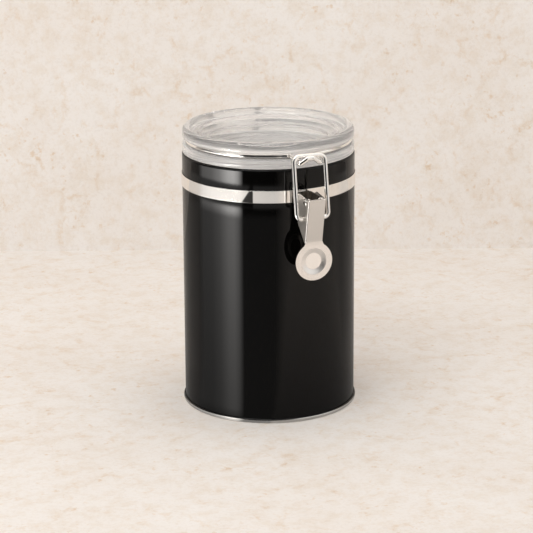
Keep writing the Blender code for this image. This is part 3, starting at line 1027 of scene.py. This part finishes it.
def foldCheek(piece, side, profile):
    # one side of the plate is folded back, each row as far as the profile says
    half = side * leverSizes["half"]
    low = leverSizes["neck"][1] - near
    high = leverSizes["top"][1] + near

    def onSide(vert):
        return abs(vert.co.x - half) < near and low < vert.co.z < high

    selectBy("EDGE")
    pick(piece, lambda edge: edge.is_boundary and all(onSide(vert) for vert in edge.verts), "edges")
    extrude((0, 0.0012, 0))
    shape = bmesh.from_edit_mesh(piece.data)
    moved = sorted((vert for vert in shape.verts if vert.select), key=lambda vert: vert.co.z)
    places = [(vert.index, vert.co.copy()) for vert in moved]
    selectBy("VERT")
    for (along, target), (index, place) in zip(profile, places):
        pick(piece, lambda vert: vert.index == index)
        bpy.ops.transform.translate(value=front(*target, half) - place)


def roundFolds(piece):
    half = leverSizes["half"]
    selectBy("EDGE")

    def isFold(edge):
        if edge.is_boundary or len(edge.link_faces) != 2:
            return False
        if any(abs(abs(vert.co.x) - half) > near for vert in edge.verts):
            return False
        return edge.calc_face_angle(0) > 1.0

    pick(piece, isFold, "edges")
    bpy.ops.mesh.bevel(offset=leverSizes["fold"], segments=5, affect="EDGES")


def faceOut(piece, distance, height):
    # the open sheet's normals point away from the tin
    shape = bmesh.from_edit_mesh(piece.data)
    shape.faces.ensure_lookup_table()
    disc = min(shape.faces, key=lambda face: (face.calc_center_median() - front(distance, height)).length)
    if disc.normal.y > 0:
        selectAll()
        bpy.ops.mesh.flip_normals()


bracketSizes = {
    "half": 0.0043,
    "ear": 0.0006,
    "edge": 0.0001,
    "seat": 0.05015,
    "slot": (0.040, 0.075, 0.120, 0.160),  # nearest and farthest, lowest and highest
    "pin": (0.0670, 0.1335),
    "pinHole": 0.00135,
    "earHalf": 0.00225,
    "earFoot": 0.0006,
    "latchRoot": 0.003,
    "hingeHalf": 0.0136,
    "hinge": (0.0565, 0.1480),
    "hingeHole": 0.0016,
    "hingeEar": 0.0028,
    "hingeRoot": 0.005,
}


def makeBracket(name, outline, half, holeRadius, holePlace, side, node):
    # a solid section (distance, height), hollowed so that two ears are left and bored for its pin
    size = bracketSizes
    place = Matrix(((0, 0, -1, 0), (-1, 0, 0, axisY), (0, 1, 0, 0), (0, 0, 0, 1)))
    piece = flatShape(name, [outline], 2 * half, place)
    nearest, farthest, low, high = size["slot"]
    square = [(nearest, low), (farthest, low), (farthest, high), (nearest, high)]
    slot = flatShape("slot", [square], 2 * (half - size["ear"]), place)
    upright = {"place": (0, axisY, 0.14), "length": 0.06, "sides": 360, "tilt": 0}
    cut(slot, addRod(size["seat"] + size["ear"], **upright))
    cut(piece, slot)
    cut(piece, addRod(size["seat"], **upright))
    cut(piece, addRod(holeRadius, holePlace))
    softenEdges(piece, size["edge"], 2)
    if side > 0:
        edit(piece)
        selectAll()
        bpy.ops.transform.rotate(value=math.pi, orient_axis="Z", center_override=(0, axisY, 0))
        leave()
    smooth(piece, 40)
    dress(piece, brightSteel, "tin", node)


def makeBrackets():
    size = bracketSizes
    seat, pin, hinge, ear = size["seat"], size["pin"], size["hinge"], size["earHalf"]
    low, high = bandSizes["low"], bandSizes["high"]
    back = seat - size["latchRoot"]
    outline = [(back, pin[1] - ear - size["earFoot"]), (back, pin[1] + ear)]
    outline += arcPoints(pin, ear, 90, -90, 24)
    makeBracket("latchBracket", outline, size["half"], size["pinHole"], front(*pin), -1, "latch_bracket")
    back = seat - size["hingeRoot"]
    outline = [(back, low), (back, high), (seat, high)]
    outline += arcPoints(hinge, size["hingeEar"], 165, -20, 26)
    outline.append((seat + 2 * size["hingeEar"], low))
    hole = size["hingeHole"]
    makeBracket("hingeBracket", outline, size["hingeHalf"], hole, front(*hinge), 1, "hinge_bracket")


pinSizes = {
    "radius": 0.0012,
    "head": 0.0021,
    "headEdge": 0.0003,
    "cheek": 0.00545,
    "tip": 0.00615,
    "dimple": 0.0004,
}


def makePin():
    size = pinSizes
    tip, cheek, head, radius = size["tip"], size["cheek"], size["head"], size["radius"]
    edge = size["headEdge"]
    rings = [(size["dimple"], tip), (radius, tip, edge, 3), (head, cheek + edge, 0.0002, 3)]
    rings += [(head, cheek, 0.0001, 2), (radius, cheek)]
    rings = [(ring[0], -ring[1], *ring[2:]) for ring in rings] + rings[::-1]
    piece = turn("pivotPin", rings, sides=48, poles=True, centreY=0)
    lying = Matrix.Rotation(math.pi / 2, 4, "Y")
    piece.matrix_world = Matrix.Translation(front(*bracketSizes["pin"])) @ lying
    settle(piece)
    dress(piece, brightSteel, "tin", "pivot_pin")


makeBail()
makeLever()
makeBrackets()
makePin()
print("clamp made")

# Room, light and camera

roomLook = {
    "floor": (0.825, 0.79, 0.76),
    "wall": (0.85, 0.815, 0.785),
    "patch": (0.97, 0.955, 0.94),  # what the soft patches leave of the stone's colour
    "mottle": (0.95, 0.915, 0.87),  # the cloudy marks a few millimetres across
    "speck": (0.90, 0.80, 0.69),  # the small tan spots
    "vein": (0.92, 0.84, 0.75),  # and the thin veins
    "grain": (0.95, 0.94, 0.93),
    "wallPlace": 0.315,
    "wallMiddle": 2.9,
    "size": 6,  # of the floor and the wall
    "light": (1.0, 0.985, 0.965),
    "world": 0.80,
    "through": 0.60,  # share of the studio above that shows through the lid
    "mirrored": 0.86,  # what polished metal sees of the studio above
}


def stonePattern(name, colour):
    # pale limestone: soft patches, fine grain, and thin veins that come and go
    look = roomLook
    made, tree = newMaterial(name)
    place = objectCoords(tree)
    patches = tint(noise(place, 11.0, 6.0, 0.6), look["patch"], white, 0.38, 0.6)
    grain = tint(noise(place, 420.0, 3.0, 0.7), look["grain"], white, 0.32, 0.5)
    mottle = tint(noise(place, 85.0, 7.0, 0.74), look["mottle"], white, 0.36, 0.54)
    bent = vectorMath("MULTIPLY_ADD", noise(place, 34.0, 7.0, 0.68, "Color"), (0.04, 0.04, 0.04), place)
    cells = addNode(tree, "TexVoronoi", {"Vector": bent, "Scale": 26.0}, feature="DISTANCE_TO_EDGE")
    lines = spread(cells.outputs["Distance"], 1, 0, 0.0, 0.07)
    there = spread(noise(place, 70.0, 6.0, 0.7), 0, 1, 0.48, 0.66)
    veins = tint(combine("MULTIPLY", lines, there), white, look["vein"], 0, 1)
    dots = spread(noise(place, 190.0, 4.0, 0.6), 1, 0, 0.30, 0.41)
    groups = spread(noise(place, 32.0, 3.0, 0.6), 0, 1, 0.44, 0.58)
    specks = tint(combine("MULTIPLY", dots, groups), white, look["speck"], 0, 1)
    stone = (*colour, 1)
    for layer in (patches, mottle, grain, veins, specks):
        values = {"Factor": 1.0, "A": stone, "B": layer}
        stone = addNode(tree, "Mix", values, data_type="RGBA", blend_type="MULTIPLY").outputs["Result"]
    return paint(made, {"Base Color": stone, "Roughness": 0.8, "Specular IOR Level": 0.0})


def clearFromBehind(made):
    # a wall that hides nothing when the tin is looked at from its far side
    tree = made.node_tree
    behind = addNode(tree, "NewGeometry", {}).outputs["Backfacing"]
    stone = tree.nodes["Principled BSDF"].outputs["BSDF"]
    clear = addNode(tree, "BsdfTransparent", {}).outputs["BSDF"]
    mix = addNode(tree, "MixShader", {"Fac": behind, 1: stone, 2: clear})
    feed(tree.nodes["Material Output"], {"Surface": mix.outputs["Shader"]})
    return made


def addPlane(name, place, turned, stone):
    size = roomLook["size"]
    plane = add(bpy.ops.mesh.primitive_plane_add, name, size=size, rotation=turned, location=place)
    plane.data.materials.append(stone)
    return plane


def makeRoom():
    look = roomLook
    floor = addPlane("floor", (0, 0, 0), (0, 0, 0), stonePattern("paleStoneFloor", look["floor"]))
    azimuth = math.radians(cameraPlace["azimuth"])
    away = Vector((-math.sin(azimuth), math.cos(azimuth), 0))
    place = Vector((0, axisY, look["wallMiddle"])) + away * look["wallPlace"]
    stone = clearFromBehind(stonePattern("paleStoneWall", look["wall"]))
    wall = addPlane("wall", place, (math.pi / 2, 0, azimuth), stone)


cameraPlace = {
    "azimuth": -22.0,
    "pitch": 16.24,
    "distance": 1.3051,
    "aimRight": -0.00141,
    "aimHeight": 0.07868,
    "roll": -0.34,
    "lens": 151.6,
    "sensor": 36,
    "nearest": 0.05,
}


def makeCamera():
    look = cameraPlace
    azimuth = math.radians(look["azimuth"])
    pitch = math.radians(look["pitch"])
    level = math.cos(pitch)
    right = Vector((math.cos(azimuth), math.sin(azimuth), 0))
    forward = Vector((-math.sin(azimuth) * level, math.cos(azimuth) * level, -math.sin(pitch)))
    aim = Vector((0, axisY, look["aimHeight"])) + right * look["aimRight"]
    turned = Matrix((right, right.cross(forward), -forward)).transposed().to_4x4()
    roll = Matrix.Rotation(math.radians(look["roll"]), 4, "Z")
    bpy.ops.object.camera_add()
    camera = bpy.context.object
    camera.matrix_world = Matrix.Translation(aim - forward * look["distance"]) @ turned @ roll
    camera.data.lens = look["lens"]
    camera.data.sensor_width = look["sensor"]
    camera.data.clip_start = look["nearest"]
    scene.camera = camera


# degrees round the tin from its front, distance, height, width, length, strength, colour, gloss only
lamps = {
    "leftBox": (-88, 0.75, 0.42, 0.45, 0.7, 0.6, (1.0, 0.98, 0.95)),
    "frontBox": (-48, 1.1, 1.2, 0.9, 0.9, 2.5, (1.0, 0.98, 0.95)),
    "fillBox": (55, 1.0, 0.9, 0.9, 0.9, 0.3, (1.0, 0.97, 0.93)),
    "glintStrip": (-40, 0.35, 0.9, 0.6, 0.06, 5.0, (1.0, 0.99, 0.98), True),
    "topBox": (158, 0.12, 0.95, 0.7, 0.6, 0.9, (1.0, 0.985, 0.97)),
}
lampAim = 0.08


def makeLight(name, azimuth, distance, height, width, tall, strength, colour, glossOnly=False):
    # a soft box that looks at the tin
    angle = math.radians(azimuth)
    place = Vector((math.sin(angle) * distance, axisY - math.cos(angle) * distance, height))
    turned = (Vector((0, axisY, lampAim)) - place).to_track_quat("-Z", "Y").to_euler()
    bpy.ops.object.light_add(type="AREA", location=place, rotation=turned)
    light = bpy.context.object
    light.name = name
    light.data.shape = "RECTANGLE"
    light.data.size = width
    light.data.size_y = tall
    light.data.color = colour
    light.data.energy = strength * width * tall * math.pi
    light.visible_camera = False
    light.visible_diffuse = light.visible_transmission = not glossOnly


def makeWorld():
    look = roomLook
    world = bpy.data.worlds.new("studio")
    scene.world = world
    world.use_nodes = True
    tree = world.node_tree
    path = addNode(tree, "LightPath", {})
    above = spread(path.outputs["Is Glossy Ray"], look["world"], look["mirrored"], 0, 1)
    behind = spread(path.outputs["Is Transmission Ray"], 1, look["through"], 0, 1)
    strength = combine("MULTIPLY", above, behind)
    feed(tree.nodes["Background"], {"Color": (*look["light"], 1), "Strength": strength})


# distances are from the tin's axis, and stops are (degrees round from the camera, value)
cardLook = {
    "radius": 0.78,
    "height": 0.85,
    "lift": 0.0004,
    "centre": (-0.004, 0.031),  # where the tin's mirrored rays seem to start, right and forward
    "light": (1.0, 0.97, 0.94),
    "shadeNear": 0.24,  # what the tin mirrors of the dim side of the room in front
    "shadeFar": 0.02,
    "footShade": 0.70,  # how dark the floor gets at the tin's foot, and how far that reaches
    "footReach": (0.05, 0.32),
    "glow": (1.5, 7.7),  # the soft box on the left, mirrored: at the tin, and more for each metre
    "glowFar": 3.1,
    "glowEnd": (0.67, 0.69),  # beyond this only a mild light is left
    "glowFoot": (0.052, 0.068),  # and before this it is weaker
    "glowFootShare": 0.3,
    "mild": 1.1,
    "edge": (0.493, 0.517),  # distance at which the table ends for the reflection
    "gap": (0.528, 0.600),  # the pale strip that the band mirrors
    "gapEdge": 0.003,
    "gapLight": 1.08,
    "horizon": (0.24, 0.40),  # the low wall is dark in front up to here, and fades out above
    "tableEnd": (0.63, 0.66),  # and so is the floor from here on
    "wedge": (-37, -24, -20),  # a dark stand in the gap: its slanting side near and far, then its upright side
    "wedgeLight": 0.05,
    "glowStops": [(-106, 0), (-97, 0.14), (-81, 0.22), (-68, 0.43), (-55, 0.91), (-47, 1), (-41, 0.7),
                  (-34, 0)],
    "sideStops": [(-165, 0), (-140, 0.55), (-108, 0.55), (-97, 1), (10, 1), (28, 0), (98, 0), (112, 0.5),
                  (145, 0.5), (165, 0)],
    "frontStops": [(2, 0), (10, 1), (28, 1), (42, 0)],
    "gapStops": [(-108, 0.55), (-95, 0.82), (-80, 0.95), (-55, 1.0), (-38, 0.95), (-24, 0.68), (0, 0.62)],
}


def makeCard():
    # a card on the floor and a low wall round it, which only mirrors see
    look = cardLook
    disc = {"vertices": 128, "radius": look["radius"], "fill_type": "NGON"}
    card = add(bpy.ops.mesh.primitive_circle_add, "mirrorCard", location=(0, axisY, look["lift"]), **disc)
    edit(card, "EDGE")
    pickOpenEdges(card)
    extrude((0, 0, look["height"]))
    leave()
    card.data.materials.append(makeCardGlow())
    card.visible_camera = False
    card.visible_diffuse = False
    card.visible_shadow = False


def azimuthRamp(radial, name):
    stops = cardLook[name]
    return ramp(radial, [(0.5 + degrees / 360, (value, value, value)) for degrees, value in stops])


def makeCardGlow():
    look = cardLook
    made, tree = newMaterial("mirrorCard")
    tree.nodes.clear()
    flat, away = fromAxis(tree)
    # turned so that the middle of the radial ramp points at the camera
    right, ahead = look["centre"]
    turned = (0, 0, math.pi / 2 - math.radians(cameraPlace["azimuth"]))
    values = {"Vector": flat, "Rotation": turned, "Location": (-ahead, -right, 0)}
    facing = addNode(tree, "Mapping", values).outputs["Vector"]
    radial = addNode(tree, "TexGradient", {"Vector": facing}, gradient_type="RADIAL").outputs["Fac"]

    # where the card is seen at all
    foot = spread(away, look["footShade"], 0, *look["footReach"])
    lowWall = spread(coordinate(tree, "Z"), 1, 0, *look["horizon"])
    wall = spread(away, 0, 1, *look["tableEnd"])
    darkWall = combine("MULTIPLY", azimuthRamp(radial, "frontStops"), lowWall, wall)
    shade = combine("MAXIMUM", azimuthRamp(radial, "sideStops"), foot, darkWall)

    # the soft box's glow, and the dim room beside it
    far = spread(away, 0, 1, *look["edge"])
    base, slope = look["glow"]
    rising = spread(away, base, base + slope, 0, 1)
    farther = spread(far, 1.0, look["glowFar"], 0, 1)
    outside = spread(away, 0, 1, *look["glowEnd"])
    level = blend(outside, combine("MULTIPLY", rising, farther), look["mild"])
    atFoot = spread(away, look["glowFootShare"], 1, *look["glowFoot"])
    shine = combine("MULTIPLY", level, atFoot, azimuthRamp(radial, "glowStops"))
    dim = spread(far, look["shadeNear"], look["shadeFar"], 0, 1)

    # the pale strip that the band mirrors, and the dark stand in it
    low, high = look["gap"]
    soft = look["gapEdge"]
    rise = spread(away, 0, 1, low - soft, low + soft)
    fall = spread(away, 1, 0, high - soft, high + soft)
    gap = combine("MULTIPLY", rise, fall)
    strip = spread(azimuthRamp(radial, "gapStops"), 0, look["gapLight"], 0, 1)
    pale = blend(gap, combine("ADD", shine, dim), strip)
    slantNear, slantFar, upright = (degrees / 360 for degrees in look["wedge"])
    slant = spread(away, 0.5 + slantNear, 0.5 + slantFar, low, high)
    past = spread(combine("SUBTRACT", radial, slant), 0, 1, -0.001, 0.002)
    before = spread(radial, 1, 0, 0.498 + upright, 0.501 + upright)
    stand = combine("MULTIPLY", past, before, gap)
    seen = combine("MULTIPLY", pale, spread(stand, 1.0, look["wedgeLight"], 0, 1))

    light = addNode(tree, "Emission", {"Color": (*look["light"], 1), "Strength": seen}).outputs[0]
    clear = addNode(tree, "BsdfTransparent", {}).outputs[0]
    mix = addNode(tree, "MixShader", {"Fac": shade, 1: clear, 2: light}).outputs[0]
    addNode(tree, "OutputMaterial", {"Surface": mix})
    return made


makeRoom()
makeCard()
makeCamera()
for name, lamp in lamps.items():
    makeLight(name, *lamp)
makeWorld()
print("room, light and camera made")
